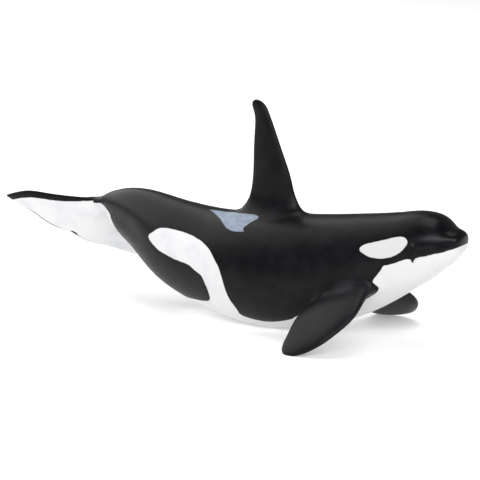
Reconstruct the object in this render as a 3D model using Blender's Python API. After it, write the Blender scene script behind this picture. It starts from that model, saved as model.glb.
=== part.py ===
"""Toy orca figure, solid moulded plastic, painted black and white.

Metres, +Z up, head toward +X, the animal's left side toward +Y.
The figure rests on its belly and on the ends of both flippers, tail raised and swung to its left.
"""
import math

import bmesh
import bpy
import numpy as np
from mathutils import Vector

MM = 0.001

# Driving dimensions, in millimetres
GAP = 0.3
GROUND = -0.65
SHIFT_TO_ORIGIN = (61.36, -4.0)
NOSE_CAP = 3.2
RING_STEP = 4.2
RING_SIDES = 40
FIN_SIDES = 20
FIN_STEPS = 17
FLUKE_SIDES = 18
FLUKE_STEPS = 16

# Body stations: name, centre x, y, z, half depth, half width
BODY_STATIONS = (
    ("snout", 46.55, 0.0, 39.27, 6.47, 8.4),
    ("lip", 44.5, 0.0, 39.42, 5.32, 6.6),
    ("beak", 40.9, 0.0, 39.0, 7.72, 8.85),
    ("brow", 35.4, 0.0, 38.65, 11.25, 11.55),
    ("melon", 25.9, 0.0, 35.87, 13.87, 14.0),
    ("cheek", 12.0, 0.0, 30.5, 17.2, 16.7),
    ("chest", -4.2, 0.0, 25.2, 20.3, 19.3),
    ("girth", -24.0, 0.0, 21.3, 22.2, 21.2),
    ("loin", -44.5, 0.3, 20.75, 21.75, 20.25),
    ("rump", -61.9, 1.8, 22.48, 19.62, 17.1),
    ("stock_front", -80.4, 5.0, 26.22, 17.27, 13.5),
    ("stock_middle", -98.0, 10.0, 31.65, 13.2, 9.4),
    ("stock_rear", -114.0, 15.8, 34.32, 8.12, 5.6),
    ("fluke_root", -124.2, 21.5, 34.7, 3.0, 3.8),
    ("keel_end", -135.2, 24.0, 27.6, 1.5, 2.4),
)
NECK_STATION_X = 21.5
RUMP_STATION_X = -62.0

# Mouth and throat cut, seen from the side
MOUTH_FRONT = (60.0, 42.9)
MOUTH_CORNER = (31.6, 34.3)
THROAT_END = (24.6, 5.0)

# Eyes
EYE_RADIUS = 1.3
EYE_X = 30.1
EYE_Y = 12.35
EYE_Z = 37.7

# Dorsal fin: height, chord centre x, half chord, thickness
FIN_STATIONS = (
    (40.0, -33.5, 17.0, 9.6),
    (44.0, -33.4, 15.6, 8.6),
    (46.8, -33.9, 11.1, 6.6),
    (50.8, -34.2, 9.6, 5.6),
    (56.6, -34.6, 8.35, 5.0),
    (68.0, -36.55, 6.0, 4.0),
    (75.2, -37.75, 4.4, 3.4),
    (80.5, -38.9, 3.35, 3.0),
    (86.35, -41.4, 3.2, 2.6),
)
FIN_CAP_START = 82.9

# Flippers, one outline for both: fraction of length, chord centre, half chord, thickness
FLIPPER_STATIONS = (
    (-0.18, -0.4, 6.6, 5.6),
    (0.0, 0.0, 8.5, 5.2),
    (0.3, 1.4, 10.7, 4.6),
    (0.6, 1.3, 11.1, 4.0),
    (0.85, 0.75, 8.65, 3.2),
    (1.0, -1.35, 7.95, 2.6),
)
FLIPPER_CAP_START = 0.62

# Each flipper's pose: root centre, tip, chord turn and twist in degrees, bow across the length
FLIPPER_POSES = {
    "flipper_right": ((10.9, -13.2, 22.2), (-5.9, -40.1, -0.95), -10.0, 7.0, 2.1),
    "flipper_left": ((8.7, 10.9, 17.7), (-3.2, 35.3, -0.7), -13.8, -2.0, -2.6),
}

# Flukes: pose and outline
FLUKE_ROOT = (-129.8, 20.2, 35.8)
FLUKE_SWING = 21.8
FLUKE_DROP = 44.5
FLUKE_ROLL = 38.4
FLUKE_HALF_SPAN = 30.6
FLUKE_CURL = 5.6
FLUKE_THICKNESS_ROOT = 7.8
FLUKE_THICKNESS_TIP = 2.1
FLUKE_FAIRING = 0.25
FLUKE_LEADING = ((0.0, -0.2), (0.3, 5.2), (0.6, 11.0), (0.85, 17.8), (1.0, 25.8))
FLUKE_TRAILING = ((0.0, 23.6), (0.07, 24.1), (0.3, 25.1), (0.6, 24.3), (0.85, 25.2), (1.0, 25.8))
FLUKE_LAST_SECTION = 0.985


def spline(knots, values):
    """Return a function that reads the natural cubic curve through values at knots."""
    knots = np.asarray(knots, float)
    values = np.asarray(values, float)
    count = len(knots)
    step = np.diff(knots)
    matrix = np.eye(count)
    right = np.zeros(values.shape)
    for i in range(1, count - 1):
        matrix[i, i - 1:i + 2] = step[i - 1], 2 * (step[i - 1] + step[i]), step[i]
        slopes = (values[i + 1] - values[i]) / step[i] - (values[i] - values[i - 1]) / step[i - 1]
        right[i] = 6 * slopes
    bend = np.linalg.solve(matrix, right)

    def read(places):
        places = np.atleast_1d(np.asarray(places, float))
        i = np.clip(np.searchsorted(knots, places) - 1, 0, count - 2)
        after = (places - knots[i]).reshape((-1,) + (1,) * (values.ndim - 1))
        before = (knots[i + 1] - places).reshape(after.shape)
        width = step[i].reshape(after.shape)
        cubic = (bend[i] * before ** 3 + bend[i + 1] * after ** 3) / (6 * width)
        lower = (values[i] / width - bend[i] * width / 6) * before
        upper = (values[i + 1] / width - bend[i + 1] * width / 6) * after
        return cubic + lower + upper

    return read


def unit(vector):
    """Return the vector at length one."""
    return vector / np.linalg.norm(vector)


def rounded_end(place, start, end):
    """Return 1 up to start and then a quarter of an oval down to 0 at end."""
    past = np.clip((place - start) / (end - start), 0.0, 1.0)
    return np.sqrt(1.0 - past ** 2)


def to_world(points):
    """Return points in metres, moved so that the figure stands over the origin."""
    move = np.array([SHIFT_TO_ORIGIN[0], SHIFT_TO_ORIGIN[1], -GROUND])
    return (np.asarray(points, float) + move) * MM


def new_material(name, colour, roughness):
    """Return a plain painted plastic."""
    material = bpy.data.materials.new(name)
    material.use_nodes = True
    shader = material.node_tree.nodes["Principled BSDF"]
    shader.inputs["Base Color"].default_value = (*colour, 1.0)
    shader.inputs["Roughness"].default_value = roughness
    shader.inputs["Metallic"].default_value = 0.0
    return material


def loft(name, rings):
    """Return a closed object through rings of points, with the same diagonals on both faces."""
    mesh = bpy.data.meshes.new(name)
    shape = bmesh.new()
    rows = [[shape.verts.new(point) for point in to_world(ring)] for ring in rings]
    sides = len(rows[0])
    for near, far in zip(rows[:-1], rows[1:]):
        for j in range(sides):
            k = (j + 1) % sides
            if j < sides // 2:
                shape.faces.new((near[j], near[k], far[k]))
                shape.faces.new((near[j], far[k], far[j]))
            else:
                shape.faces.new((near[j], near[k], far[j]))
                shape.faces.new((near[k], far[k], far[j]))
    for row in (rows[0], rows[-1]):
        centre = shape.verts.new(sum((vert.co for vert in row), Vector()) / sides)
        for j in range(sides):
            shape.faces.new((row[j], row[(j + 1) % sides], centre))
    bmesh.ops.recalc_face_normals(shape, faces=shape.faces)
    shape.to_mesh(mesh)
    shape.free()
    mesh.shade_smooth()
    item = bpy.data.objects.new(name, mesh)
    bpy.context.collection.objects.link(item)
    return item


def as_cutter(item):
    """Mark an object as a guide that is no part of the figure."""
    item.hide_render = True
    item.display_type = "WIRE"
    return item


def cut(item, cutter, operation="DIFFERENCE"):
    """Cut an object with a guide, exactly."""
    modifier = item.modifiers.new(cutter.name, "BOOLEAN")
    modifier.operation = operation
    modifier.solver = "EXACT"
    modifier.object = cutter


def keep_largest_surface(item):
    """Apply an object's cuts and drop the loose scraps that they leave."""
    solved = item.evaluated_get(bpy.context.evaluated_depsgraph_get())
    mesh = bpy.data.meshes.new_from_object(solved)
    item.modifiers.clear()
    item.data = mesh
    shape = bmesh.new()
    shape.from_mesh(mesh)
    left_over = set(shape.verts)
    surfaces = []
    while left_over:
        surface = {left_over.pop()}
        edge = list(surface)
        while edge:
            vert = edge.pop()
            found = {link.other_vert(vert) for link in vert.link_edges} & left_over
            left_over -= found
            surface |= found
            edge.extend(found)
        surfaces.append(surface)
    largest = max(surfaces, key=len)
    scraps = [vert for vert in shape.verts if vert not in largest]
    bmesh.ops.delete(shape, geom=scraps, context="VERTS")
    shape.to_mesh(mesh)
    shape.free()


def body_spine():
    """Return the spine's curve, its whole length and the length at each station."""
    stations = np.array([row[1:] for row in BODY_STATIONS])
    spans = np.linalg.norm(np.diff(stations[:, :3], axis=0), axis=1)
    lengths = np.concatenate(([0.0], np.cumsum(spans)))
    return spline(lengths, stations), lengths


def length_at_x(x):
    """Return the length along the spine where it passes x."""
    curve, lengths = body_spine()
    places = np.linspace(0.0, lengths[-1], 800)
    return float(np.interp(-x, -curve(places)[:, 0], places))


def body_rings(start, end, grow=0.0):
    """Return the body's rings between two lengths of the spine."""
    curve, lengths = body_spine()
    count = max(2, int(round((end - max(start, NOSE_CAP)) / RING_STEP)) + 1)
    places = np.linspace(max(start, NOSE_CAP), end, count)
    if start < NOSE_CAP:
        turns = np.linspace(0.12, math.pi / 2, 7)[:-1]
        places = np.concatenate((NOSE_CAP * (1 - np.cos(turns)), places))
    angles = np.linspace(0.0, 2 * math.pi, RING_SIDES, endpoint=False)
    nudge = 0.001
    rings = []
    for place in places:
        row = curve(place)[0]
        tangent = unit((curve(place + nudge) - curve(place - nudge))[0, :3])
        up = unit(np.array([0.0, 0.0, 1.0]) - tangent * tangent[2])
        side = np.cross(tangent, up)
        nose = 1.0 - min(place, NOSE_CAP) / NOSE_CAP
        swell = math.sqrt(1.0 - nose ** 2)
        depth = row[3] * swell + grow
        width = row[4] * swell + grow
        centre = row[:3] - tangent * grow * nose
        ring = [centre + depth * math.sin(a) * up + width * math.cos(a) * side for a in angles]
        rings.append(ring)
    return rings


def body_length():
    """Return the spine's whole length."""
    return body_spine()[1][-1]


def fin_section(centre, chord, across, half_chord, thickness, sides, taper):
    """Return a closed fin section, fuller toward its leading edge."""
    ring = []
    for a in np.linspace(0.0, 2 * math.pi, sides, endpoint=False):
        along = math.cos(a)
        half = thickness / 2 * math.sin(a) * (1.0 - taper + taper * along)
        ring.append(centre + chord * half_chord * along + across * half)
    return ring


def prism(name, outline, half_width):
    """Return a closed block with an outline in X and Z, centred on the figure's middle plane."""
    rings = [[(x, side * half_width, z) for x, z in outline] for side in (-1, 1)]
    mesh = bpy.data.meshes.new(name)
    shape = bmesh.new()
    rows = [[shape.verts.new(point) for point in to_world(ring)] for ring in rings]
    for j in range(len(outline)):
        k = (j + 1) % len(outline)
        shape.faces.new((rows[0][j], rows[0][k], rows[1][k], rows[1][j]))
    shape.faces.new(rows[0])
    shape.faces.new(rows[1])
    bmesh.ops.recalc_face_normals(shape, faces=shape.faces)
    shape.to_mesh(mesh)
    shape.free()
    item = bpy.data.objects.new(name, mesh)
    bpy.context.collection.objects.link(item)
    return as_cutter(item)


def jaw_block(name, offset):
    """Return the block under the mouth and before the throat, drawn in by offset."""
    front = (MOUTH_FRONT[0], MOUTH_FRONT[1] - offset)
    corner = (MOUTH_CORNER[0] + offset, MOUTH_CORNER[1] - offset)
    throat = (THROAT_END[0] + offset, THROAT_END[1])
    below = (MOUTH_FRONT[0], THROAT_END[1])
    return prism(name, (front, corner, throat, below), 30.0)


def sphere(name, centre, radius, rings):
    """Return a ball."""
    mesh = bpy.data.meshes.new(name)
    shape = bmesh.new()
    bmesh.ops.create_uvsphere(shape, u_segments=2 * rings, v_segments=rings, radius=radius * MM)
    bmesh.ops.translate(shape, verts=shape.verts, vec=Vector(to_world([centre])[0]))
    shape.to_mesh(mesh)
    shape.free()
    mesh.shade_smooth()
    item = bpy.data.objects.new(name, mesh)
    bpy.context.collection.objects.link(item)
    return item


def make_body(black, white):
    """Make the head, lower jaw, torso and tail stock."""
    neck = length_at_x(NECK_STATION_X)
    rump = length_at_x(RUMP_STATION_X)
    head = loft("head", body_rings(0.0, neck - GAP / 2))
    jaw = loft("lower_jaw", body_rings(0.0, neck - GAP / 2))
    torso = loft("torso", body_rings(neck + GAP / 2, rump - GAP / 2))
    stock = loft("tail_stock", body_rings(rump + GAP / 2, body_length()))
    cut(head, jaw_block("jaw_space", -GAP / 2))
    cut(jaw, jaw_block("jaw_shape", GAP / 2), "INTERSECT")
    for item in (head, torso, stock):
        item.data.materials.append(black)
    jaw.data.materials.append(white)
    return head, torso


def make_eyes(head, gloss):
    """Make both eyes and their sockets in the head."""
    for name, side in (("eye_right", -1), ("eye_left", 1)):
        centre = (EYE_X, side * EYE_Y, EYE_Z)
        eye = sphere(name, centre, EYE_RADIUS, 8)
        eye.data.materials.append(gloss)
        cut(head, as_cutter(sphere(name + "_socket", centre, EYE_RADIUS + GAP, 8)))


def make_dorsal_fin(black, clearance):
    """Make the tall fin on the back."""
    stations = np.array(FIN_STATIONS)
    curve = spline(stations[:, 0], stations[:, 1:])
    low, top = stations[0, 0], stations[-1, 0]
    rings = []
    for turn in np.linspace(0.0, math.pi, FIN_STEPS):
        height = low + (top - low) * (1.0 - math.cos(turn)) / 2 * 0.999
        centre_x, half_chord, thickness = curve(height)[0]
        swell = float(rounded_end(height, FIN_CAP_START, top))
        centre = np.array([centre_x, 0.0, height])
        chord = np.array([1.0, 0.0, 0.0])
        across = np.array([0.0, 1.0, 0.0])
        rings.append(fin_section(centre, chord, across, half_chord * swell,
                                 thickness * swell, FIN_SIDES, 0.2))
    fin = loft("dorsal_fin", rings)
    fin.data.materials.append(black)
    cut(fin, clearance)


def flipper_axes(root, tip, turn):
    """Return a flipper's length, chord and upper directions."""
    along = unit(tip - root)
    chord = unit(np.array([1.0, 0.0, 0.0]) - along * along[0])
    upper = np.cross(chord, along)
    upper = upper * math.copysign(1.0, upper[2])
    turn = math.radians(turn)
    turned = chord * math.cos(turn) - upper * math.sin(turn)
    return along, turned, upper * math.cos(turn) + chord * math.sin(turn)


def make_flipper(name, black, clearance, floor):
    """Make one flipper, a broad paddle that reaches the ground."""
    root, tip, turn, twist, bow = FLIPPER_POSES[name]
    root = np.array(root)
    tip = np.array(tip)
    along, chord, upper = flipper_axes(root, tip, turn)
    length = np.linalg.norm(tip - root)
    stations = np.array(FLIPPER_STATIONS)
    curve = spline(stations[:, 0], stations[:, 1:])
    first = stations[0, 0]
    rings = []
    for part in np.linspace(0.0, 1.0, FIN_STEPS):
        place = first + (1.0 - first) * (1.0 - (1.0 - part) ** 1.6) * 0.9985
        offset, half_chord, thickness = curve(place)[0]
        past = max(0.0, (place - FLIPPER_CAP_START) / (1.0 - FLIPPER_CAP_START))
        swell = math.sqrt(1.0 - past ** 2.2)
        bend = math.radians(twist) * (place - 0.5)
        turned = chord * math.cos(bend) - upper * math.sin(bend)
        face = upper * math.cos(bend) + chord * math.sin(bend)
        centre = root + along * length * place + upper * bow * 4 * place * (1.0 - place)
        centre = centre + turned * offset
        rings.append(fin_section(centre, turned, face, half_chord * swell,
                                 thickness * swell ** 0.7, FIN_SIDES, 0.15))
    flipper = loft(name, rings)
    flipper.data.materials.append(black)
    cut(flipper, clearance)
    cut(flipper, floor)


def fluke_axes():
    """Return the flukes' backward, leftward and upward directions."""
    swing, drop, roll = (math.radians(a) for a in (FLUKE_SWING, FLUKE_DROP, FLUKE_ROLL))
    back = np.array([-math.cos(swing) * math.cos(drop), math.sin(swing) * math.cos(drop),
                     -math.sin(drop)])
    left = np.array([math.sin(swing), math.cos(swing), 0.0])
    upper = np.cross(left, back)
    upper = upper * math.copysign(1.0, upper[2])
    rolled = left * math.cos(roll) - upper * math.sin(roll)
    return back, rolled, upper * math.cos(roll) + left * math.sin(roll)


def make_fluke(name, side, white, clearance):
    """Make one fluke, from the middle plane of the tail out to its tip."""
    back, left, upper = fluke_axes()
    leading = spline(*np.array(FLUKE_LEADING).T)
    trailing = spline(*np.array(FLUKE_TRAILING).T)
    inner = GAP / 2 / FLUKE_HALF_SPAN
    rings = []
    for part in np.linspace(0.0, 1.0, FLUKE_STEPS):
        place = inner + (FLUKE_LAST_SECTION - inner) * (1.0 - (1.0 - part) ** 1.3)
        front = float(leading(place)[0])
        rear = float(trailing(place)[0])
        swell = math.exp(-place / FLUKE_FAIRING)
        thickness = FLUKE_THICKNESS_TIP + (FLUKE_THICKNESS_ROOT - FLUKE_THICKNESS_TIP) * swell
        thickness = thickness * float(rounded_end(place, 0.8, 1.02))
        centre = np.array(FLUKE_ROOT) + left * side * FLUKE_HALF_SPAN * place
        centre = centre + back * (front + rear) / 2 + upper * FLUKE_CURL * place ** 2
        rings.append(fin_section(centre, -back, upper, (rear - front) / 2,
                                 thickness, FLUKE_SIDES, 0.35))
    fluke = loft(name, rings)
    fluke.data.materials.append(white)
    cut(fluke, clearance)
    keep_largest_surface(fluke)


def main():
    """Build the figure."""
    for item in list(bpy.data.objects):
        bpy.data.objects.remove(item, do_unlink=True)
    black = new_material("black_paint", (0.012, 0.012, 0.014), 0.55)
    white = new_material("white_paint", (0.86, 0.87, 0.88), 0.5)
    gloss = new_material("eye_gloss", (0.01, 0.008, 0.008), 0.12)
    clearance = as_cutter(loft("body_clearance", body_rings(0.0, body_length() + GAP, GAP)))
    floor = prism("floor_space", ((-300.0, GROUND), (300.0, GROUND), (300.0, -40.0),
                                  (-300.0, -40.0)), 200.0)
    head, torso = make_body(black, white)
    cut(torso, floor)
    make_eyes(head, gloss)
    make_dorsal_fin(black, clearance)
    for name in FLIPPER_POSES:
        make_flipper(name, black, clearance, floor)
    make_fluke("fluke_right", -1, white, clearance)
    make_fluke("fluke_left", 1, white, clearance)


main()
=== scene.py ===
"""Toy orca figure, dressed for the studio.

One painted skin stands for the parted moulding, and the eyes sit in it as gloss beads.
Metres, +Z up, head toward +X, the animal's left side toward +Y.
"""
import logging
import math
from dataclasses import dataclass
from enum import Enum

import bmesh
import bpy
import numpy as np
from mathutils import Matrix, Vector
from mathutils.bvhtree import BVHTree
from mathutils.kdtree import KDTree


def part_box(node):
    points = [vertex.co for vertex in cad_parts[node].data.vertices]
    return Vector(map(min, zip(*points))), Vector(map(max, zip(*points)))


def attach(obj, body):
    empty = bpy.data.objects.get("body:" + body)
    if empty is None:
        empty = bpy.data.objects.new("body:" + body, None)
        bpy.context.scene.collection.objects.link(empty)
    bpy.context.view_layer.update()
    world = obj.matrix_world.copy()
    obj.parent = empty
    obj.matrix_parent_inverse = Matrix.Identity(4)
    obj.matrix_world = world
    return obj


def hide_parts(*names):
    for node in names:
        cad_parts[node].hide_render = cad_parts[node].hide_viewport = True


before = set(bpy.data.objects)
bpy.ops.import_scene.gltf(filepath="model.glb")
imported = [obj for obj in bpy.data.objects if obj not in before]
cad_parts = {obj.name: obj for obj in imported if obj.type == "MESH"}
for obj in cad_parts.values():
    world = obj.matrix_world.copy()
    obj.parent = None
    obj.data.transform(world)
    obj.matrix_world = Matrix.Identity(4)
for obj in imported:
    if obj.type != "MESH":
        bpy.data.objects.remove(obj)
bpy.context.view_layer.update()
log = logging.getLogger("toy_orca")

MM = 0.001

# A point more millimetres deep in a form than this has met its hidden end, and counts as outside
SHALLOW = 0.05


class Mark(Enum):
    """The paint edges that the skin carries, as distances in millimetres, plus inside."""

    WHITE = "white_edge"
    SADDLE = "saddle_edge"
    MOUTH = "mouth_line"
    PATCH = "patch_edge"
    # Edge of the painted sheen over each flipper and its shoulder
    SHOULDER_SHEEN = "shoulder_sheen_edge"


@dataclass(frozen=True)
class Ground:
    """Where the figure's own measures lie in the room."""

    shift: tuple[float, float, float] = (61.36, -4.0, 0.65)

    def to_room(self, points: np.ndarray) -> np.ndarray:
        """Return the figure's millimetres as room metres."""
        return (np.asarray(points, float) + np.array(self.shift)) * MM

    def to_figure(self, points: np.ndarray) -> np.ndarray:
        """Return room metres as the figure's millimetres."""
        return np.asarray(points, float) / MM - np.array(self.shift)


GROUND = Ground()


class NaturalCurve:
    """A natural cubic curve through values at knots."""

    def __init__(self, knots: np.ndarray, values: np.ndarray) -> None:
        """Solve the curve's bends.

        Args:
            knots: rising places.
            values: one value or row of values at each place.
        """
        self.knots = np.asarray(knots, float)
        self.values = np.asarray(values, float)
        count = len(self.knots)
        self.step = np.diff(self.knots)
        matrix = np.eye(count)
        right = np.zeros(self.values.shape)
        for i in range(1, count - 1):
            before, after = self.step[i - 1], self.step[i]
            matrix[i, i - 1:i + 2] = before, 2 * (before + after), after
            rise = (self.values[i + 1] - self.values[i]) / after
            right[i] = 6 * (rise - (self.values[i] - self.values[i - 1]) / before)
        self.bend = np.linalg.solve(matrix, right)

    def at(self, places: float | np.ndarray) -> np.ndarray:
        """Read the curve.

        Args:
            places: one place or many.

        Returns:
            One row for each place.
        """
        places = np.atleast_1d(np.asarray(places, float))
        i = np.clip(np.searchsorted(self.knots, places) - 1, 0, len(self.knots) - 2)
        shape = (-1,) + (1,) * (self.values.ndim - 1)
        after = (places - self.knots[i]).reshape(shape)
        before = (self.knots[i + 1] - places).reshape(shape)
        width = self.step[i].reshape(shape)
        cubic = (self.bend[i] * before ** 3 + self.bend[i + 1] * after ** 3) / (6 * width)
        lower = (self.values[i] / width - self.bend[i] * width / 6) * before
        upper = (self.values[i + 1] / width - self.bend[i + 1] * width / 6) * after
        return cubic + lower + upper


def unit(vectors: np.ndarray) -> np.ndarray:
    """Return the vectors at length one."""
    return vectors / np.maximum(np.linalg.norm(vectors, axis=-1, keepdims=True), 1e-12)


def deselect_all() -> None:
    """Leave edit mode and select nothing."""
    if bpy.context.object and bpy.context.object.mode != "OBJECT":
        bpy.ops.object.mode_set(mode="OBJECT")
    bpy.ops.object.select_all(action="DESELECT")


def pick(piece: bpy.types.Object) -> None:
    """Select one piece alone and make it active."""
    deselect_all()
    piece.select_set(True)
    bpy.context.view_layer.objects.active = piece


def points_of(piece: bpy.types.Object) -> np.ndarray:
    """Return a piece's vertices in the figure's millimetres."""
    flat = np.empty(len(piece.data.vertices) * 3)
    piece.data.vertices.foreach_get("co", flat)
    return GROUND.to_figure(flat.reshape(-1, 3))


def normals_of(piece: bpy.types.Object) -> np.ndarray:
    """Return a piece's vertex normals."""
    flat = np.empty(len(piece.data.vertices) * 3)
    piece.data.vertex_normals.foreach_get("vector", flat)
    return flat.reshape(-1, 3)


def place_points(piece: bpy.types.Object, points: np.ndarray) -> None:
    """Put a piece's vertices at places given in the figure's millimetres."""
    piece.data.vertices.foreach_set("co", GROUND.to_room(points).ravel())
    piece.data.update()


def extruded_form(name: str, rings: list[np.ndarray]) -> bpy.types.Object:
    """Model a closed form: a circle extruded from ring to ring, both ends filled.

    Args:
        name: the object's name.
        rings: rings of points in the figure's millimetres, all of one count.

    Returns:
        The form, its faces outward.
    """
    rings = [GROUND.to_room(ring) for ring in rings]
    middle = rings[0].mean(axis=0)
    deselect_all()
    bpy.ops.mesh.primitive_circle_add(vertices=len(rings[0]), radius=0.001, location=middle)
    piece = bpy.context.object
    piece.name = name
    piece.data.name = name
    bpy.ops.object.transform_apply(location=True, rotation=True, scale=True)
    bpy.ops.object.mode_set(mode="EDIT")
    bpy.ops.mesh.select_mode(type="VERT")
    bpy.ops.mesh.select_all(action="SELECT")
    shape = bmesh.from_edit_mesh(piece.data)
    row = sorted(shape.verts, key=lambda vert: vert.index)
    for vert, place in zip(row, rings[0]):
        vert.co = place
    for before, ring in zip(rings[:-1], rings[1:]):
        step = ring.mean(axis=0) - before.mean(axis=0)
        bpy.ops.mesh.extrude_region_move(TRANSFORM_OT_translate={"value": tuple(step)})
        row = [next(edge.other_vert(vert) for edge in vert.link_edges
                    if edge.other_vert(vert).select) for vert in row]
        for vert, place in zip(row, ring):
            vert.co = place
    bpy.ops.mesh.edge_face_add()
    bpy.ops.mesh.poke()
    bpy.ops.mesh.select_all(action="DESELECT")
    bpy.ops.mesh.select_non_manifold()
    bpy.ops.mesh.edge_face_add()
    bpy.ops.mesh.poke()
    bpy.ops.mesh.select_all(action="SELECT")
    bpy.ops.mesh.normals_make_consistent(inside=False)
    bpy.ops.object.mode_set(mode="OBJECT")
    bpy.ops.object.shade_smooth()
    return piece


def fin_section(centre: np.ndarray, chord: np.ndarray, across: np.ndarray, half_chord: float,
                thickness: float, sides: int, taper: float, flatness: float = 1.0) -> np.ndarray:
    """Draw one section of a fin, fuller toward the end that chord points to.

    Args:
        centre: the section's middle.
        chord: direction from the middle to the leading edge.
        across: direction of the thickness.
        half_chord: half the section's length.
        thickness: the section's greatest thickness.
        sides: number of points.
        taper: how much thinner the trailing half is.
        flatness: 1 for an oval, and less for flat faces with blunt edges.

    Returns:
        The section's points.
    """
    turn = np.linspace(0.0, 2 * math.pi, sides, endpoint=False)[:, None]
    along = np.cos(turn)
    bulge = np.sign(np.sin(turn)) * np.abs(np.sin(turn)) ** flatness
    half = thickness / 2 * bulge * (1.0 - taper + taper * along)
    return centre + chord * half_chord * along + across * half


@dataclass
class Body:
    """The moulding's body, from the snout to the keel under the flukes.

    A separate program fitted the stations to the photograph, and some were changed by hand.
    """

    # Station: centre x, y, z, half depth, half width
    snout: tuple = (46.55, 0.0, 39.27, 6.47, 8.4)
    lip: tuple = (44.5, 0.0, 39.42, 5.32, 6.6)
    beak: tuple = (40.9, 0.0, 39.0, 7.72, 8.85)
    brow: tuple = (35.4, 0.0, 38.65, 11.25, 11.55)
    melon: tuple = (25.9, 0.0, 35.87, 13.87, 14.0)
    cheek: tuple = (12.0, 0.0, 30.5, 17.2, 16.7)
    chest: tuple = (-4.2, 0.0, 25.2, 20.3, 19.3)
    girth: tuple = (-24.0, 0.0, 21.3, 22.2, 21.2)
    loin: tuple = (-44.5, 0.3, 20.75, 21.75, 20.25)
    rump: tuple = (-61.9, 1.8, 22.48, 19.62, 17.1)
    stock_front: tuple = (-80.4, 5.0, 26.22, 17.27, 13.5)
    stock_middle: tuple = (-98.0, 10.0, 31.65, 13.2, 9.4)
    stock_rear: tuple = (-114.0, 15.8, 34.32, 8.12, 5.6)
    fluke_root: tuple = (-124.2, 21.5, 34.7, 3.0, 3.8)
    keel_end: tuple = (-135.2, 24.0, 27.6, 1.5, 2.4)
    nose_cap: float = 3.2
    sides: int = 144
    head_step: float = 0.45
    head_end: float = 30.0
    body_step: float = 1.1

    def __post_init__(self) -> None:
        """Solve the spine and keep a fine table of its frames."""
        stations = np.array([self.snout, self.lip, self.beak, self.brow, self.melon, self.cheek,
                             self.chest, self.girth, self.loin, self.rump, self.stock_front,
                             self.stock_middle, self.stock_rear, self.fluke_root, self.keel_end])
        spans = np.linalg.norm(np.diff(stations[:, :3], axis=0), axis=1)
        lengths = np.concatenate(([0.0], np.cumsum(spans)))
        self.length = float(lengths[-1])
        self.curve = NaturalCurve(lengths, stations)
        self.table = np.linspace(0.0, self.length, 1400)
        self.rows = self.curve.at(self.table)

    def frames(self, lengths: np.ndarray) -> tuple[np.ndarray, ...]:
        """Read the spine.

        Args:
            lengths: places along the spine.

        Returns:
            Centres, tangents, upward and leftward directions, half depths and half widths.
        """
        nudge = 0.001
        rows = self.curve.at(lengths)
        slopes = self.curve.at(lengths + nudge) - self.curve.at(lengths - nudge)
        tangent = unit(slopes[:, :3])
        up = unit(np.array([0.0, 0.0, 1.0]) - tangent * tangent[:, 2:3])
        side = np.cross(tangent, up)
        nose = 1.0 - np.minimum(lengths, self.nose_cap) / self.nose_cap
        swell = np.sqrt(np.clip(1.0 - nose ** 2, 0.0, 1.0))
        return rows[:, :3], tangent, up, side, rows[:, 3] * swell, rows[:, 4] * swell

    def surface(self, lengths: np.ndarray, turns: np.ndarray) -> np.ndarray:
        """Find points of the skin.

        Args:
            lengths: places along the spine.
            turns: angles in degrees from the back, plus to the left.

        Returns:
            The points in the figure's millimetres.
        """
        centre, _, up, side, depth, width = self.frames(np.asarray(lengths, float))
        turn = np.radians(np.asarray(turns, float))
        rise = up * (depth * np.cos(turn))[:, None]
        return centre + rise + side * (width * np.sin(turn))[:, None]

    def coordinates(self, points: np.ndarray) -> tuple[np.ndarray, np.ndarray]:
        """Find where points lie on the skin.

        Args:
            points: places in the figure's millimetres.

        Returns:
            Lengths along the spine, and angles in degrees from the back, plus to the left.
        """
        lengths = np.interp(-points[:, 0], -self.rows[:, 0], self.table)
        for _ in range(12):
            centre, tangent, up, side, depth, width = self.frames(lengths)
            ahead = np.einsum("ij,ij->i", points - centre, tangent)
            lengths = np.clip(lengths + 0.8 * ahead, 0.0, self.length)
        offset = points - centre
        high = np.einsum("ij,ij->i", offset, up) / np.maximum(depth, 0.05)
        wide = np.einsum("ij,ij->i", offset, side) / np.maximum(width, 0.05)
        return lengths, np.degrees(np.arctan2(wide, high))

    def build(self) -> bpy.types.Object:
        """Model the body, a circle extruded along the spine."""
        cap = self.nose_cap * (1.0 - np.cos(np.linspace(0.06, math.pi / 2, 12)[:-1]))
        head = np.arange(self.nose_cap, self.head_end, self.head_step)
        count = int((self.length - self.head_end) / self.body_step)
        rest = np.linspace(self.head_end, self.length, count)
        turns = np.linspace(0.0, 360.0, self.sides, endpoint=False)
        rings = []
        for place in np.concatenate((cap, head, rest)):
            rings.append(self.surface(np.full(self.sides, place), turns))
        return extruded_form("body_form", rings)


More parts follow.
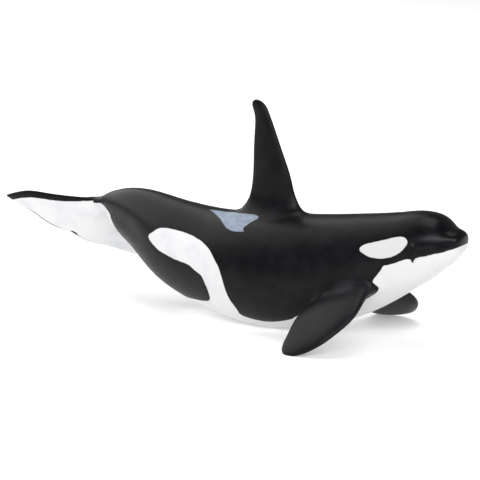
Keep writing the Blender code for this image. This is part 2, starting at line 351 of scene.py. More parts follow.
@dataclass
class DorsalFin:
    """The tall fin on the back, its rows written from edge points cast by a separate program."""

    # Station: height, chord centre x, half chord, thickness
    buried: tuple = (28.0, -34.5, 13.5, 9.0)
    base: tuple = (44.0, -33.9, 12.1, 7.6)
    waist: tuple = (46.8, -33.9, 11.1, 6.6)
    lower: tuple = (50.8, -34.2, 9.6, 5.6)
    middle: tuple = (56.6, -34.6, 8.35, 5.0)
    upper: tuple = (68.0, -36.55, 6.0, 4.0)
    neck: tuple = (75.2, -37.75, 4.4, 3.4)
    crown: tuple = (80.5, -38.9, 3.35, 3.0)
    tip: tuple = (86.35, -41.4, 3.2, 2.6)
    cap_start: float = 82.9
    taper: float = 0.2
    sides: int = 56
    steps: int = 76

    def build(self) -> bpy.types.Object:
        """Model the fin, a circle extruded up from inside the back."""
        stations = np.array([self.buried, self.base, self.waist, self.lower, self.middle,
                             self.upper, self.neck, self.crown, self.tip])
        curve = NaturalCurve(stations[:, 0], stations[:, 1:])
        low, top = self.buried[0], self.tip[0]
        rings = []
        for turn in np.linspace(0.0, math.pi / 2, self.steps):
            height = low + (top - low) * math.sin(turn) * 0.9995
            centre_x, half_chord, thickness = curve.at(height)[0]
            past = max(0.0, (height - self.cap_start) / (top - self.cap_start))
            swell = math.sqrt(1.0 - past ** 2)
            rings.append(fin_section(np.array([centre_x, 0.0, height]), np.array([1.0, 0.0, 0.0]),
                                     np.array([0.0, 1.0, 0.0]), half_chord * swell,
                                     thickness * swell, self.sides, self.taper))
        return extruded_form("dorsal_form", rings)


@dataclass
class Flipper:
    """One broad flipper that reaches down to the ground.

    A separate program fitted it to the photograph, and its rows were changed by hand.
    """

    name: str
    root: tuple
    tip: tuple
    turn: float
    twist: float
    bow: float
    # Station: fraction of the length, chord centre, half chord, thickness
    buried: tuple = (-0.32, 1.6, 4.6, 5.0)
    shoulder: tuple = (0.0, 0.9, 5.2, 4.8)
    arm: tuple = (0.3, 1.75, 10.35, 4.6)
    palm: tuple = (0.6, 1.1, 10.9, 4.0)
    blade: tuple = (0.85, 0.55, 8.5, 3.2)
    end: tuple = (1.0, -1.35, 7.95, 2.6)
    cap_start: float = 0.62
    taper: float = 0.12
    flatness: float = 0.78
    sides: int = 72
    steps: int = 66

    def axes(self) -> tuple[np.ndarray, np.ndarray, np.ndarray]:
        """Return the flipper's length, chord and upper directions."""
        along = unit(np.array(self.tip) - np.array(self.root))
        chord = unit(np.array([1.0, 0.0, 0.0]) - along * along[0])
        upper = np.cross(chord, along)
        upper = upper * math.copysign(1.0, upper[2])
        turn = math.radians(self.turn)
        turned = chord * math.cos(turn) - upper * math.sin(turn)
        return along, turned, upper * math.cos(turn) + chord * math.sin(turn)

    def build(self) -> bpy.types.Object:
        """Model the flipper, a circle extruded out from inside the chest."""
        along, chord, upper = self.axes()
        length = np.linalg.norm(np.array(self.tip) - np.array(self.root))
        stations = np.array([self.buried, self.shoulder, self.arm, self.palm, self.blade,
                             self.end])
        curve = NaturalCurve(stations[:, 0], stations[:, 1:])
        first = self.buried[0]
        rings = []
        for part in np.linspace(0.0, 1.0, self.steps):
            place = first + (1.0 - first) * (1.0 - (1.0 - part) ** 1.6) * 0.9985
            offset, half_chord, thickness = curve.at(place)[0]
            past = max(0.0, (place - self.cap_start) / (1.0 - self.cap_start))
            swell = math.sqrt(1.0 - past ** 2.2)
            bend = math.radians(self.twist) * (place - 0.5)
            turned = chord * math.cos(bend) - upper * math.sin(bend)
            face = upper * math.cos(bend) + chord * math.sin(bend)
            centre = np.array(self.root) + along * length * place
            centre = centre + upper * self.bow * 4 * place * (1.0 - place) + turned * offset
            rings.append(fin_section(centre, turned, face, half_chord * swell,
                                     thickness * swell ** 0.7, self.sides, self.taper,
                                     self.flatness))
        return extruded_form(self.name, rings)


@dataclass
class Flukes:
    """Both tail flukes, in one sweep from tip to tip.

    A separate program fitted their place, angles and edges to the photograph.
    """

    root: tuple = (-129.8, 20.2, 35.8)
    swing: float = 21.8
    drop: float = 44.5
    roll: float = 38.4
    half_span: float = 30.6
    curl: float = 5.6
    thickness_root: float = 7.8
    thickness_tip: float = 2.1
    fairing: float = 0.25
    leading: tuple = ((0.0, -0.2), (0.3, 5.2), (0.6, 11.0), (0.85, 17.8), (1.0, 25.8))
    trailing: tuple = ((0.0, 23.6), (0.07, 24.1), (0.3, 25.1), (0.6, 24.3), (0.85, 25.2),
                       (1.0, 25.8))
    last_section: float = 0.985
    taper: float = 0.35
    sides: int = 60
    steps: int = 111

    def axes(self) -> tuple[np.ndarray, np.ndarray, np.ndarray]:
        """Return the flukes' backward, leftward and upward directions."""
        swing, drop, roll = (math.radians(a) for a in (self.swing, self.drop, self.roll))
        back = np.array([-math.cos(swing) * math.cos(drop), math.sin(swing) * math.cos(drop),
                         -math.sin(drop)])
        left = np.array([math.sin(swing), math.cos(swing), 0.0])
        upper = np.cross(left, back)
        upper = upper * math.copysign(1.0, upper[2])
        rolled = left * math.cos(roll) - upper * math.sin(roll)
        return back, rolled, upper * math.cos(roll) + left * math.sin(roll)

    def outline(self, part: np.ndarray) -> tuple[np.ndarray, np.ndarray]:
        """Return how far back both edges lie at fractions of the half span."""
        leading = NaturalCurve(*np.array(self.leading).T)
        trailing = NaturalCurve(*np.array(self.trailing).T)
        return leading.at(part), trailing.at(part)

    def local(self, points: np.ndarray) -> tuple[np.ndarray, np.ndarray, np.ndarray]:
        """Return how far left, back and up of the flukes' root points lie."""
        back, left, upper = self.axes()
        offset = points - np.array(self.root)
        return offset @ left, offset @ back, offset @ upper

    def build(self) -> bpy.types.Object:
        """Model the flukes, a circle extruded from the right tip to the left."""
        back, left, upper = self.axes()
        rings = []
        for turn in np.linspace(-1.0, 1.0, self.steps):
            part = math.copysign(1.0 - (1.0 - abs(turn)) ** 1.3, turn)
            part = part * self.last_section
            place = abs(part)
            front, rear = (float(edge[0]) for edge in self.outline(np.array([place])))
            swell = math.exp(-place / self.fairing)
            thickness = self.thickness_tip + (self.thickness_root - self.thickness_tip) * swell
            past = max(0.0, (place - 0.8) / 0.22)
            thickness = thickness * math.sqrt(1.0 - past ** 2)
            centre = np.array(self.root) + left * self.half_span * part
            centre = centre + back * (front + rear) / 2 + upper * self.curl * place ** 2
            rings.append(fin_section(centre, -back, upper, (rear - front) / 2, thickness,
                                     self.sides, self.taper))
        return extruded_form("fluke_form", rings)


def outer_distance(tree: BVHTree, point: Vector) -> tuple[float, Vector]:
    """Measure how far a point on or outside a closed form lies from it.

    Args:
        tree: the form's faces.
        point: the point in metres.

    Returns:
        The distance in millimetres and the outward direction.
    """
    near, normal, _, distance = tree.find_nearest(point)
    away = point - near
    sign = -1.0 if away.dot(normal) < 0.0 and distance < SHALLOW * MM else 1.0
    if distance > 1e-7:
        normal = away * (sign / distance)
    return sign * distance / MM, normal


def inside_outline(outline: np.ndarray, places: np.ndarray) -> np.ndarray:
    """Return which flat places lie inside a closed outline."""
    inside = np.zeros(len(places), bool)
    for (ax, ay), (bx, by) in zip(outline, np.roll(outline, -1, axis=0)):
        crosses = (ay > places[:, 1]) != (by > places[:, 1])
        rise = by - ay if abs(by - ay) > 1e-12 else 1e-12
        inside ^= crosses & (places[:, 0] < (bx - ax) * (places[:, 1] - ay) / rise + ax)
    return inside


def bump(offset: np.ndarray, width: float) -> np.ndarray:
    """Return a smooth hill of height one, as wide as width, at offset zero."""
    return np.exp(-(offset / width) ** 2)


def smooth_line(points: np.ndarray, closed: bool, spacing: float = 0.05) -> np.ndarray:
    """Run an even, rounded line through flat points.

    Args:
        points: the points that it passes.
        closed: whether it ends where it starts.
        spacing: a share of each stretch between samples.

    Returns:
        The line's samples.
    """
    if closed:
        points = np.vstack((points[-3:], points, points[:3]))
    knots = np.concatenate(([0.0], np.cumsum(np.linalg.norm(np.diff(points, axis=0), axis=1))))
    curve = NaturalCurve(knots, points)
    first, last = (knots[3], knots[-3]) if closed else (knots[0], knots[-1])
    count = int(len(points) / spacing)
    return curve.at(np.linspace(first, last, count, endpoint=not closed))


@dataclass
class Markings:
    """The painted fields on the body's right side, as outlines of (length, turn).

    Most points were picked by eye in the photograph and cast onto the body by a separate
    program, and stretches that it hides were chosen by hand.
    """

    body: Body
    flukes: Flukes
    eye_patch: tuple = (
        (34.7, 69.1), (32.2, 64.4), (27.8, 64.0), (24.3, 63.6), (20.9, 63.1), (18.4, 64.6),
        (16.8, 69.7), (16.5, 75.1), (17.3, 81.7), (19.3, 87.3), (22.3, 90.6), (25.8, 90.0),
        (28.4, 87.5), (31.2, 82.8), (33.4, 76.6))
    lip: tuple = (
        (0.0, 95.0), (0.2, 97.3), (1.1, 100.7), (2.5, 104.4), (3.9, 105.6), (5.9, 104.6),
        (7.4, 104.6), (9.0, 105.4), (10.9, 105.9), (13.0, 105.7), (14.8, 105.6), (16.0, 108.4))
    throat: tuple = (
        (16.9, 112.2), (17.1, 107.6), (17.5, 103.6), (19.8, 101.3), (22.7, 101.5), (25.8, 100.4),
        (27.1, 99.6), (28.6, 102.6), (30.0, 105.8), (31.4, 108.9), (32.6, 111.0), (33.5, 113.0),
        (33.3, 116.0), (33.0, 119.5), (33.2, 127.0), (35.8, 131.4), (38.7, 133.6), (43.9, 139.0),
        (46.7, 143.0), (52.0, 144.0),
        (59.0, 141.0), (65.5, 130.9), (69.7, 136.1), (73.1, 138.2), (77.3, 140.3), (81.2, 140.3),
        (84.8, 138.0), (87.6, 135.5), (89.0, 127.5), (90.8, 114.6), (92.7, 98.4), (94.3, 87.2),
        (96.8, 77.6), (100.2, 69.0), (103.9, 62.5), (108.5, 58.4), (113.8, 56.1), (118.8, 56.2),
        (124.7, 58.4), (129.3, 63.1), (132.3, 72.5), (133.7, 84.8), (130.1, 88.7),
        (126.7, 90.4), (121.9, 90.5), (116.9, 90.4), (109.6, 90.0), (106.6, 93.0),
        (104.2, 94.9), (102.3, 99.4), (100.7, 107.4), (100.0, 119.4), (100.4, 123.8),
        (107.3, 135.8), (115.0, 150.0), (122.0, 170.0), (126.0, 180.0))
    saddle: tuple = (
        (113.8, 9.2), (110.9, 8.1), (107.3, 8.0), (102.8, 9.1), (97.4, 13.5), (92.8, 14.7),
        (88.4, 15.4), (86.5, 16.6), (85.6, 18.4), (86.4, 22.0), (87.9, 26.9), (89.2, 32.6),
        (89.5, 36.3), (88.7, 38.4), (87.9, 39.5), (90.0, 40.8), (93.4, 41.2), (96.3, 39.5),
        (100.1, 34.0), (103.4, 27.0), (108.4, 18.0), (111.9, 12.6))
    # Painted sheen: lighter grey over the shoulder of each flipper, standing for the light its
    # upper face catches
    shoulder: tuple = (
        (57.5, 112.4), (56.0, 110.9), (54.0, 108.8), (51.8, 105.7), (49.1, 103.3), (45.7, 101.0),
        (42.1, 101.1), (40.3, 103.3), (38.2, 106.9), (35.8, 112.0), (36.0, 120.0), (42.0, 128.0),
        (50.0, 130.0), (56.0, 124.0))
    # Flukes' underside: (left, back) of the white's front edge, from the right tip to the left
    fluke_front: tuple = (
        (-31.0, 29.0), (-28.2, 26.6), (-27.4, 25.1), (-25.2, 20.9), (-22.0, 17.0), (-18.4, 14.1),
        (-14.7, 11.7), (-11.1, 9.1), (-7.6, 6.3), (-4.1, 3.4), (-0.6, 0.2), (1.8, -2.4),
        (4.0, -7.0), (13.0, -2.0), (22.0, 5.0), (28.0, 12.0), (29.5, 20.0), (31.0, 27.0))
    # Flukes' trailing edge: (left, width) of the black that shows round it
    fluke_rim: tuple = (
        (-31.0, 0.0), (-22.0, 0.0), (-17.0, 0.55), (-8.0, 0.7), (-3.0, 0.4), (-0.6, 0.5),
        (0.3, 1.7), (2.2, 1.7), (3.2, 0.6), (9.0, 0.35), (15.0, 0.0), (31.0, 0.0))
    # Keel under the flukes, where its white starts
    keel: tuple = (
        (161.0, 180.0), (161.8, 150.0), (163.2, 125.0), (165.0, 109.0), (167.6, 97.5),
        (172.4, 93.7), (176.5, 91.0), (180.1, 83.0), (182.2, 62.0), (183.4, 44.0), (185.0, 32.0))
    # Places past the belly's middle line that close the white fields
    belly_close: tuple = ((126.0, 230.0), (-10.0, 230.0), (-10.0, 92.0))
    keel_close: tuple = ((210.0, 40.0), (210.0, 230.0), (161.0, 230.0))

    def edge_distance(self, outline: np.ndarray, edges: list[np.ndarray], points: np.ndarray,
                      flat: np.ndarray) -> np.ndarray:
        """Measure points against a painted field.

        Args:
            outline: the closed field in (length, turn).
            edges: the lines in (length, turn) that the paint really ends at.
            points: the skin's points.
            flat: their lengths and turns, turns without sign.

        Returns:
            Distances in millimetres, plus inside the field.
        """
        samples = np.vstack([self.body.surface(edge[:, 0], edge[:, 1]) for edge in edges])
        tree = KDTree(len(samples))
        for i, sample in enumerate(samples):
            tree.insert(sample, i)
        tree.balance()
        distance = np.array([tree.find(point)[2] for point in points])
        return np.where(inside_outline(outline, flat), distance, -distance)

    def mirrored(self, points: np.ndarray) -> tuple[np.ndarray, np.ndarray]:
        """Return points' flat coordinates without sign, and those places on the left side."""
        length, turn = self.body.coordinates(points)
        flat = np.column_stack((length, np.abs(turn)))
        return flat, self.body.surface(flat[:, 0], flat[:, 1])


@dataclass(frozen=True)
class Grain:
    """Fine unevenness of a hand painted moulding, sizes in millimetres."""

    fine: float = 0.35
    height: float = 0.02


class PaintGraph:
    """A material's node tree, built a node at a time."""

    def __init__(self, name: str) -> None:
        """Start a material of that name."""
        self.material = bpy.data.materials.new(name)
        self.material.use_nodes = True
        self.tree = self.material.node_tree
        self.shader = self.tree.nodes["Principled BSDF"]
        self.place = self.node("ShaderNodeTexCoord").outputs["Object"]

    def node(self, kind: str, inputs: dict | None = None, **settings: object) -> bpy.types.Node:
        """Add a node.

        Args:
            kind: Blender's name of the node.
            inputs: values or sockets for its inputs, by name or number.
            settings: the node's own properties.

        Returns:
            The node.
        """
        node = self.tree.nodes.new(kind)
        for key, value in settings.items():
            setattr(node, key, value)
        for key, value in (inputs or {}).items():
            if isinstance(value, bpy.types.NodeSocket):
                self.tree.links.new(value, node.inputs[key])
            else:
                node.inputs[key].default_value = value
        return node

    def math(self, operation: str, a: object, b: object = 0.0) -> bpy.types.NodeSocket:
        """Return the outcome of a sum on two values or sockets."""
        return self.node("ShaderNodeMath", {0: a, 1: b}, operation=operation).outputs[0]

    def noise(self, size: float, detail: float = 3.0, stretch: tuple = (1.0, 1.0, 1.0)
              ) -> bpy.types.NodeSocket:
        """Return a noise whose blots are about size millimetres."""
        scaled = self.node("ShaderNodeMapping", {"Vector": self.place, "Scale": stretch})
        return self.node("ShaderNodeTexNoise", {"Vector": scaled.outputs[0],
                                                "Scale": 1.0 / (size * MM),
                                                "Detail": detail}).outputs["Fac"]

    def ramp(self, value: bpy.types.NodeSocket, low: float, high: float, to_low: float = 0.0,
             to_high: float = 1.0) -> bpy.types.NodeSocket:
        """Return a value eased from one range to another."""
        return self.node("ShaderNodeMapRange", {"Value": value, "From Min": low,
                                                "From Max": high, "To Min": to_low,
                                                "To Max": to_high},
                         interpolation_type="SMOOTHSTEP").outputs["Result"]

    def mix(self, amount: object, below: object, above: object) -> bpy.types.NodeSocket:
        """Return one colour painted over another by an amount."""
        node = self.node("ShaderNodeMix", data_type="RGBA")
        for key, value in (("Factor_Float", amount), ("A_Color", below), ("B_Color", above)):
            socket = next(item for item in node.inputs if item.identifier == key)
            if isinstance(value, bpy.types.NodeSocket):
                self.tree.links.new(value, socket)
            else:
                socket.default_value = value
        return next(item for item in node.outputs if item.identifier == "Result_Color")

    def layer(self, name: str) -> bpy.types.NodeSocket:
        """Return a distance that the skin carries."""
        return self.node("ShaderNodeAttribute", attribute_name=name).outputs["Fac"]


@dataclass(frozen=True)
class HandPaint:
    """The black and white hand paint of the skin, with a painted sheen of lighter grey over the
    flipper shoulders and painted shade on the head's white.
    """

    black: tuple = (0.0026, 0.0022, 0.003, 1.0)
    black_worn: tuple = (0.006, 0.0056, 0.0068, 1.0)
    # Painted sheen: the lighter grey that stands for light caught on the flipper shoulders
    black_painted_sheen: tuple = (0.026, 0.027, 0.031, 1.0)
    white: tuple = (0.75, 0.755, 0.76, 1.0)
    white_deep: tuple = (0.655, 0.67, 0.70, 1.0)
    # Painted shade: the white, darker on the head
    white_head_shade: tuple = (0.65, 0.66, 0.655, 1.0)
    saddle: tuple = (0.25, 0.305, 0.385, 1.0)
    saddle_thin: tuple = (0.205, 0.245, 0.295, 1.0)
    patch: tuple = (0.585, 0.60, 0.59, 1.0)
    edge_wobble: float = 0.4
    edge_softness: float = 0.16
    roughness: float = 0.36
    snout_polish: float = 0.74
    specular: float = 0.13
    grain: Grain = Grain()

    def make(self) -> bpy.types.Material:
        """Mix the skin's paint."""
        graph = PaintGraph("hand_paint")
        wobble = graph.math("MULTIPLY", graph.math("SUBTRACT", graph.noise(2.2), 0.5),
                            self.edge_wobble)
        white_edge = graph.math("ADD", graph.layer(Mark.WHITE.value), wobble)
        white = graph.ramp(white_edge, -self.edge_softness, self.edge_softness)
        saddle_edge = graph.math("ADD", graph.layer(Mark.SADDLE.value), wobble)
        saddle = graph.ramp(saddle_edge, -0.2, 0.3)
        streaks = graph.noise(0.45, 3.0, (1.0, 0.5, 0.12))
        wear_and_sheen = graph.math("ADD", graph.math("MULTIPLY", streaks, 0.8), graph.noise(3.0))
        brushed = graph.mix(graph.ramp(wear_and_sheen, 0.75, 1.05), self.saddle, self.saddle_thin)
        black = graph.mix(graph.ramp(graph.noise(6.0), 0.35, 0.7), self.black, self.black_worn)
        # Painted sheen: lighter grey over each flipper and its shoulder, in place of the light
        # they catch
        black = graph.mix(graph.ramp(graph.layer(Mark.SHOULDER_SHEEN.value), -1.0, 1.6), black,
                          self.black_painted_sheen)
        along = graph.node("ShaderNodeSeparateXYZ", {"Vector": graph.place}).outputs["X"]
        pale = graph.mix(graph.ramp(graph.noise(9.0), 0.4, 0.75), self.white, self.white_deep)
        # Painted shade: the white turns darker toward the head
        pale = graph.mix(graph.ramp(along, -0.02, 0.06), pale, self.white_head_shade)
        pale = graph.mix(graph.ramp(graph.layer(Mark.PATCH.value), -1.0, -0.3), pale, self.patch)
        colour = graph.mix(saddle, black, brushed)
        colour = graph.mix(white, colour, pale)
        graph.tree.links.new(colour, graph.shader.inputs["Base Color"])
        rough = graph.ramp(graph.noise(0.7), 0.3, 0.7, self.roughness - 0.04,
                           self.roughness + 0.06)
        polish = graph.ramp(along, 0.086, 0.097, 1.0, self.snout_polish)
        rough = graph.math("MULTIPLY", rough, polish)
        graph.tree.links.new(rough, graph.shader.inputs["Roughness"])
        height = graph.noise(self.grain.fine, 2.0)
        height = graph.math("ADD", height, graph.math("MULTIPLY", white, 0.8))
        relief = graph.node("ShaderNodeBump", {"Height": height, "Strength": 0.6,
                                               "Distance": self.grain.height * MM})
        graph.tree.links.new(relief.outputs[0], graph.shader.inputs["Normal"])
        graph.shader.inputs["Specular IOR Level"].default_value = self.specular
        return graph.material


@dataclass(frozen=True)
class EyeGloss:
    """The dark gloss of a painted eye."""

    colour: tuple = (0.0028, 0.0024, 0.0026, 1.0)
    brown: tuple = (0.007, 0.0045, 0.004, 1.0)
    roughness: float = 0.1
    specular: float = 0.12

    def make(self) -> bpy.types.Material:
        """Mix the eye's gloss."""
        graph = PaintGraph("eye_gloss")
        tone = graph.mix(graph.ramp(graph.noise(0.8), 0.4, 0.7), self.colour, self.brown)
        graph.tree.links.new(tone, graph.shader.inputs["Base Color"])
        graph.shader.inputs["Roughness"].default_value = self.roughness
        graph.shader.inputs["Specular IOR Level"].default_value = self.specular
        return graph.material


@dataclass(frozen=True)
class Pressing:
    """One low hill on the skin: its rise, and its place and width in length and in turn."""

    rise: float
    place: float
    width: float
    turn: float
    spread: float

    def at(self, length: np.ndarray, flank: np.ndarray) -> np.ndarray:
        """Return the hill's height at lengths and turns without sign."""
        return self.rise * bump(length - self.place, self.width) * bump(flank - self.turn,
                                                                        self.spread)


@dataclass
class Skin:
    """The figure's one skin: body and fins joined, filleted, detailed and painted."""

    body: Body
    dorsal: DorsalFin
    flippers: tuple[Flipper, ...]
    flukes: Flukes
    dorsal_fillet: tuple[float, float] = (7.5, 4.5)
    fluke_fillet: float = 5.5
    flipper_fillet: float = 4.5
    smoothing: int = 10
    weld: float = 0.12
    root_reach: float = 8.0
    # Places along the figure where the flukes and the keel's white begin
    fluke_zone: float = -100.0
    keel_zone: float = -95.0
    # Turn that the keel's white keeps below on the left
    keel_turn: float = 95.0
    # How far off the body the saddle's paint reaches, and the height that flippers stay below
    saddle_reach: float = 4.0
    flipper_top: float = 36.0
    lip_end: float = 16.4
    beak_fill: Pressing = Pressing(0.5, 3.6, 2.1, 58.0, 24.0)
    stock_hollow: Pressing = Pressing(0.55, 150.0, 17.0, 96.0, 16.0)
    stock_ridge: Pressing = Pressing(0.3, 143.0, 24.0, 66.0, 12.0)
    blowhole_place: float = 23.0
    head_radius: float = 13.9
    blowhole_radius: float = 1.9

    def join(self) -> bpy.types.Object:
        """Unite the body with the fins."""
        body = self.body.build()
        fins = [self.dorsal.build(), *(flipper.build() for flipper in self.flippers),
                self.flukes.build()]
        pick(fins[0])
        for fin in fins[1:]:
            fin.select_set(True)
        bpy.ops.object.join()
        fins = bpy.context.object
        self.body_tree = BVHTree.FromObject(body, bpy.context.evaluated_depsgraph_get())
        self.fin_tree = BVHTree.FromObject(fins, bpy.context.evaluated_depsgraph_get())
        pick(body)
        union = body.modifiers.new("fins", "BOOLEAN")
        union.operation = "UNION"
        union.solver = "EXACT"
        union.object = fins
        bpy.ops.object.modifier_apply(modifier=union.name)
        bpy.data.objects.remove(fins, do_unlink=True)
        bpy.ops.object.mode_set(mode="EDIT")
        bpy.ops.mesh.select_all(action="SELECT")
        bpy.ops.mesh.remove_doubles(threshold=self.weld * MM)
        bpy.ops.object.mode_set(mode="OBJECT")
        body.name = "painted_skin"
        body.data.name = "painted_skin"
        return body

    def fillet_at(self, point: Vector) -> float:
        """Choose how softly a fin's root meets the body.

        Args:
            point: a place on the skin in metres.

        Returns:
            The fillet's reach in millimetres.
        """
        if point.x < -0.03:
            return self.fluke_fillet
        if point.z > 0.035:
            rear, front = self.dorsal_fillet
            share = min(max((point.x - 0.018) / 0.016, 0.0), 1.0)
            return rear + (front - rear) * share
        return self.flipper_fillet

    def round_roots(self, skin: bpy.types.Object) -> None:
        """Ease the skin round the roots of the fins, where the moulding has fillets."""
        moved = np.zeros(len(skin.data.vertices), bool)
        for vert in skin.data.vertices:
            point = vert.co.copy()
            for _ in range(3):
                to_body, body_way = outer_distance(self.body_tree, point)
                if abs(to_body) > self.root_reach:
                    break
                to_fin, fin_way = outer_distance(self.fin_tree, point)
                fillet = self.fillet_at(point)
                share = max(fillet - abs(to_body - to_fin), 0.0) / fillet
                if share <= 0.0:
                    break
                level = min(to_body, to_fin) - share * share * fillet / 4
                lean = share / 2
                weight = 1.0 - lean if to_body < to_fin else lean
                way = body_way * weight + fin_way * (1.0 - weight)
                if way.length < 0.2:
                    break
                point -= way * (level * MM / way.length_squared)
            moved[vert.index] = (vert.co - point).length > 0.03 * MM
            vert.co = point
        skin.data.update()
        self.smooth(skin, moved)

    def smooth(self, skin: bpy.types.Object, chosen: np.ndarray) -> None:
        """Rub the chosen vertices smooth, as a modeller's tool would."""
        pick(skin)
        bpy.ops.object.mode_set(mode="EDIT")
        bpy.ops.mesh.select_mode(type="VERT")
        bpy.ops.mesh.select_all(action="DESELECT")
        bpy.ops.object.mode_set(mode="OBJECT")
        skin.data.vertices.foreach_set("select", chosen)
        bpy.ops.object.mode_set(mode="EDIT")
        bpy.ops.mesh.vertices_smooth(factor=0.5, repeat=self.smoothing)
        bpy.ops.object.mode_set(mode="OBJECT")

    def rest_on_ground(self, skin: bpy.types.Object) -> None:
        """Flatten what would lie below the ground."""
        points = points_of(skin)
        points[:, 2] = np.maximum(points[:, 2], -GROUND.shift[2])
        place_points(skin, points)

    def paint(self, skin: bpy.types.Object, marks: Markings) -> None:
        """Give the skin its paint edges.

        Args:
            skin: the joined skin.
            marks: the painted fields.
        """
        points = points_of(skin)
        room = GROUND.to_room(points)
        to_body = np.array([outer_distance(self.body_tree, Vector(p))[0] for p in room])
        to_fin = np.array([outer_distance(self.fin_tree, Vector(p))[0] for p in room])
        on_body = np.abs(to_body) < np.abs(to_fin)
        flat, mirrored = marks.mirrored(points)
        patch = smooth_line(np.array(marks.eye_patch), True)
        eye_patch = marks.edge_distance(patch, [patch], mirrored, flat)
        lines = [smooth_line(np.array(row), False) for row in (marks.lip, marks.throat)]
        outline = np.vstack((*lines, marks.belly_close))
        belly = marks.edge_distance(outline, lines, mirrored, flat)
        white = np.maximum(eye_patch, belly)
        white = np.minimum(white, to_fin - to_body)
        left, back, _ = marks.flukes.local(points)
        on_fluke = ~on_body & (points[:, 0] < self.fluke_zone)
        front = np.array(marks.fluke_front)
        limit = np.interp(left, front[:, 0], front[:, 1])
        _, rear = marks.flukes.outline(np.minimum(np.abs(left) / marks.flukes.half_span, 1.0))
        rim = np.interp(left, *np.array(marks.fluke_rim).T)
        below = 1.5 * (0.1 - normals_of(skin) @ marks.flukes.axes()[2])
        edge = np.where(rim > 0.02, rear - rim - back, 5.0)
        fluke_white = np.minimum(np.minimum((back - limit) * 0.8, edge), below)
        white = np.where(on_fluke, fluke_white, white)
        keel_edge = smooth_line(np.array(marks.keel), False)
        keel_field = np.vstack((keel_edge, marks.keel_close))
        keel = marks.edge_distance(keel_field, [keel_edge], mirrored, flat)
        far_side = self.body.coordinates(points)[1] > 0.0
        below_flank = (flat[:, 1] - self.keel_turn) * 0.08
        keel = np.where(far_side, np.minimum(keel, below_flank), keel)
        at_keel = ~on_fluke & (points[:, 0] < self.keel_zone)
        white = np.where(at_keel, keel, white)
        ridge = smooth_line(np.array(marks.saddle), True)
        saddle = marks.edge_distance(ridge, [ridge], mirrored, flat)
        saddle = np.where(to_body < self.saddle_reach, saddle, -9.0)
        mouth = marks.edge_distance(outline, lines[:1], mirrored, flat)
        # Painted sheen: the lighter grey field over each flipper and its shoulder
        wear_and_sheen = smooth_line(np.array(marks.shoulder), True)
        wear_and_sheen = marks.edge_distance(wear_and_sheen, [wear_and_sheen], mirrored, flat) - 0.9 * np.maximum(to_body, 0.0)
        on_flipper = ~on_body & (points[:, 2] < self.flipper_top) & ~on_fluke
        wear_and_sheen = np.where(on_flipper, np.maximum(wear_and_sheen, -0.4), wear_and_sheen)
        for mark, values in ((Mark.WHITE, white), (Mark.SADDLE, saddle), (Mark.MOUTH, mouth),
                             (Mark.PATCH, eye_patch), (Mark.SHOULDER_SHEEN, wear_and_sheen)):
            layer = skin.data.attributes.new(mark.value, "FLOAT", "POINT")
            layer.data.foreach_set("value", np.clip(values, -20.0, 20.0).astype(np.float32))

    def press_details(self, skin: bpy.types.Object) -> None:
        """Press in the mouth, blowhole, eyelids and the hollows of the tail stock."""
        points, outward = points_of(skin), normals_of(skin)
        length, turn = self.body.coordinates(points)
        away = np.linalg.norm(points - self.body.surface(length, turn), axis=1)
        flank = np.abs(turn)
        mouth = np.empty(len(points))
        skin.data.attributes[Mark.MOUTH.value].data.foreach_get("value", mouth)
        lip = (length < self.lip_end) & (away < 1.0)
        rise = np.where(lip, 0.16 * bump(mouth + 1.25, 0.5) - 0.42 * bump(mouth + 0.3, 0.4), 0.0)
        rise *= np.clip((length - 1.2) / 2.5, 0.0, 1.0)
        rise += self.beak_fill.at(length, flank)
        stock = self.stock_ridge.at(length, flank) - self.stock_hollow.at(length, flank)
        rise += np.where(away < 2.5, stock, 0.0)
        along = length - self.blowhole_place
        across = np.radians(turn) * self.head_radius
        reach = np.hypot(along, across)
        crescent = bump(reach - self.blowhole_radius, 0.55)
        rise -= 0.7 * crescent * np.clip(0.4 - along, 0.0, 1.0)
        for side in ("right", "left"):
            low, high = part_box(f"eye_{side}")
            eye = GROUND.to_figure((np.array(low) + np.array(high)) / 2)
            radius = float(high[0] - low[0]) / 2 / MM
            reach = np.linalg.norm(points - eye, axis=1)
            front = np.clip((points[:, 0] - eye[0] - (points[:, 2] - eye[2])) / 3.0, 0.0, 1.0)
            rise += 0.34 * bump(reach - radius - 0.45, 0.45)
            rise -= front * (0.3 * bump(reach - radius - 1.35, 0.3)
                             + 0.2 * bump(reach - radius - 2.3, 0.3))
        place_points(skin, points + outward * rise[:, None])

    def build(self, marks: Markings) -> bpy.types.Object:
        """Model and paint the skin.

        Args:
            marks: the painted fields.

        Returns:
            The skin.
        """
        skin = self.join()
        log.info("skin joined: %d vertices", len(skin.data.vertices))
        self.round_roots(skin)
        self.rest_on_ground(skin)
        self.paint(skin, marks)
        self.press_details(skin)
        skin.data.materials.clear()
        skin.data.materials.append(HandPaint().make())
        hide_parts("head", "lower_jaw", "torso", "tail_stock", "dorsal_fin",
                    "flipper_right", "flipper_left", "fluke_right", "fluke_left")
        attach(skin, "root")
        return skin


@dataclass(frozen=True)
class Softbox:
    """One soft light: the way it lies from the figure, its distance, sides and brightness."""

    name: str
    azimuth: float
    elevation: float
    distance: float
    width: float
    height: float
    brightness: float
    colour: tuple = (1.0, 1.0, 1.0)

    def hang(self, middle: Vector) -> None:
        """Hang the light so that it faces the figure's middle."""
        light = bpy.data.lights.new(self.name, "AREA")
        light.shape = "RECTANGLE"
        light.size = self.width
        light.size_y = self.height
        light.energy = self.brightness * math.pi * self.width * self.height
        light.color = self.colour
        item = bpy.data.objects.new(self.name, light)
        bpy.context.collection.objects.link(item)
        turn, rise = math.radians(self.azimuth), math.radians(self.elevation)
        way = Vector((math.cos(turn) * math.cos(rise), math.sin(turn) * math.cos(rise),
                      math.sin(rise)))
        item.location = middle + way * self.distance
        item.rotation_euler = (-way).to_track_quat("-Z", "Y").to_euler()


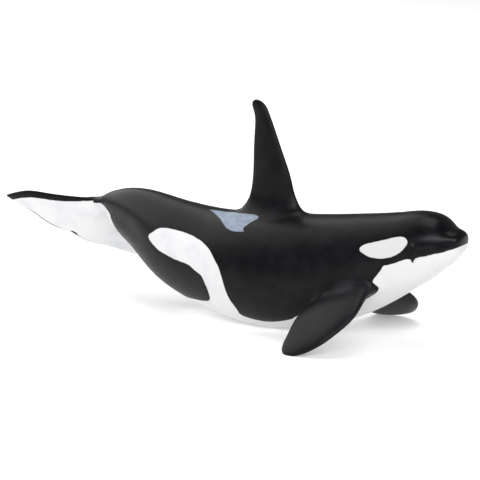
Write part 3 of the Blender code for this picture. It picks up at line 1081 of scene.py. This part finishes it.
@dataclass
class Studio:
    """A plain pale lit table, soft light and the camera at the photograph's angle."""

    camera_place: tuple = (0.46498, -0.78749, 0.22372)
    camera_target: tuple = (0.02481, -0.02510, 0.03660)
    lens: float = 179.03
    floor_size: float = 6.0
    middle: tuple = (0.0, 0.0, 0.03)
    room_light: float = 0.2
    table_colour: tuple = (0.84, 0.84, 0.835, 1.0)
    glow_colour: tuple = (1.0, 1.0, 0.99, 1.0)
    table_glow: float = 0.32
    softboxes: tuple[Softbox, ...] = (
        Softbox("tail_side_light", 172.0, 36.0, 1.3, 1.7, 1.3, 2.1),
        Softbox("head_side_light", -50.0, 31.0, 1.0, 1.3, 0.26, 8.4, (1.0, 0.97, 1.0)),
        Softbox("top_light", 90.0, 84.0, 1.5, 1.0, 1.0, 2.7))

    def set_camera(self) -> None:
        """Put the camera in its place."""
        camera = bpy.data.cameras.new("camera")
        camera.lens = self.lens
        camera.sensor_width = 36.0
        camera.clip_end = 20.0
        item = bpy.data.objects.new("camera", camera)
        bpy.context.collection.objects.link(item)
        item.location = self.camera_place
        way = Vector(self.camera_target) - item.location
        item.rotation_euler = way.to_track_quat("-Z", "Y").to_euler()
        bpy.context.scene.camera = item

    def lay_table(self) -> None:
        """Lay the pale table that the figure rests on."""
        deselect_all()
        bpy.ops.mesh.primitive_plane_add(size=self.floor_size, location=(0.0, 0.0, 0.0))
        floor = bpy.context.object
        floor.name = "studio_table"
        graph = PaintGraph("lit_table")
        graph.shader.inputs["Base Color"].default_value = self.table_colour
        graph.shader.inputs["Roughness"].default_value = 0.9
        graph.shader.inputs["Specular IOR Level"].default_value = 0.0
        graph.shader.inputs["Emission Color"].default_value = self.glow_colour
        graph.shader.inputs["Emission Strength"].default_value = self.table_glow
        floor.data.materials.append(graph.material)

    def build(self) -> None:
        """Set up the whole studio."""
        self.set_camera()
        self.lay_table()
        world = bpy.data.worlds.new("studio")
        world.use_nodes = True
        room = world.node_tree.nodes["Background"]
        room.inputs["Color"].default_value = (1.0, 1.0, 1.0, 1.0)
        room.inputs["Strength"].default_value = self.room_light
        bpy.context.scene.world = world
        for softbox in self.softboxes:
            softbox.hang(Vector(self.middle))
        bpy.context.scene.view_settings.view_transform = "Standard"


@dataclass
class Eyes:
    """The two gloss beads that stand for the painted eyes."""

    segments: int = 40
    rings: int = 24

    def build(self, gloss: bpy.types.Material) -> list[bpy.types.Object]:
        """Model both beads.

        Args:
            gloss: their finish.

        Returns:
            The beads, right one first.
        """
        beads = []
        for side in ("right", "left"):
            low, high = (Vector(corner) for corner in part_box(f"eye_{side}"))
            deselect_all()
            bpy.ops.mesh.primitive_uv_sphere_add(segments=self.segments, ring_count=self.rings,
                                                 radius=(high - low).x / 2,
                                                 location=(low + high) / 2)
            bead = bpy.context.object
            bead.name = f"eye_bead_{side}"
            bead.data.name = bead.name
            bpy.ops.object.transform_apply(location=True, rotation=True, scale=True)
            bpy.ops.object.shade_smooth()
            bead.data.materials.append(gloss)
            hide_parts(f"eye_{side}")
            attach(bead, "root")
            beads.append(bead)
        return beads


def main() -> None:
    """Build the dressed figure and its studio."""
    logging.basicConfig(level=logging.INFO, format="%(message)s")
    body = Body()
    flukes = Flukes()
    flippers = (
        Flipper("flipper_form_right", (10.9, -13.2, 22.2), (-5.9, -40.1, -0.95), -10.0, 7.0, 2.1),
        Flipper("flipper_form_left", (8.7, 10.9, 17.7), (-3.2, 35.3, -0.5), -11.5, -2.0, -1.7,
                palm=(0.6, 1.3, 11.1, 3.6), blade=(0.85, 0.95, 8.85, 3.0)))
    skin = Skin(body, DorsalFin(), flippers, flukes).build(Markings(body, flukes))
    log.info("painted skin: %d faces", len(skin.data.polygons))
    for bead in Eyes().build(EyeGloss().make()):
        log.info("eye bead: %s", bead.name)
    Studio().build()


if __name__ == "__main__":
    main()
